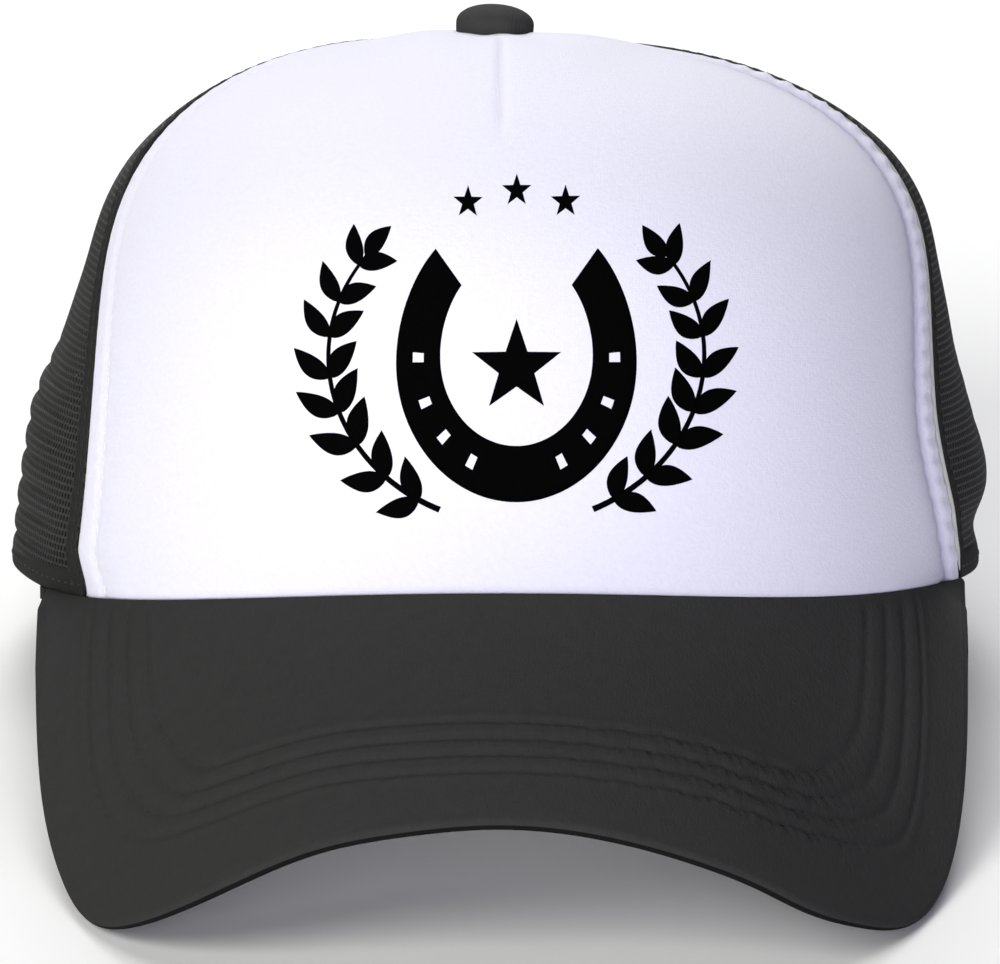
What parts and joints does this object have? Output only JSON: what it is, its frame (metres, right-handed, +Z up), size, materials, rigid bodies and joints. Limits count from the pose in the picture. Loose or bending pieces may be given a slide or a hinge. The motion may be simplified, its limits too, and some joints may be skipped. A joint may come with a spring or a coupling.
{
  "type": "trucker hat",
  "caption": "Trucker hat with a white foam front, black net sides and back, a curved peak, a covered top button and a snap strap across the open back.",
  "frame": {"origin": "on the surface that the hat rests on, under the middle of the hat's box", "axes": "+Z up, -Y towards the peak, +X to the right of a viewer who faces the hat's front"},
  "size_m": [0.1778, 0.2494, 0.1194],
  "materials": {
    "foam_cloth": "white brushed knit over foam, matte",
    "net": "charcoal black polyester net, dull",
    "twill": "charcoal black woven cloth, matte",
    "band_cloth": "black woven sweatband, matte",
    "snap_plastic": "black moulded plastic, satin"
  },
  "bodies": {
    "root": {"front_panel": "foam_cloth", "side_net_left": "net", "side_net_right": "net", "back_net_left": "net", "back_net_right": "net", "peak": "twill", "opening_binding": "twill", "sweatband": "band_cloth", "snap_strap": "snap_plastic", "top_button": "twill"}
  },
  "joints": []
}
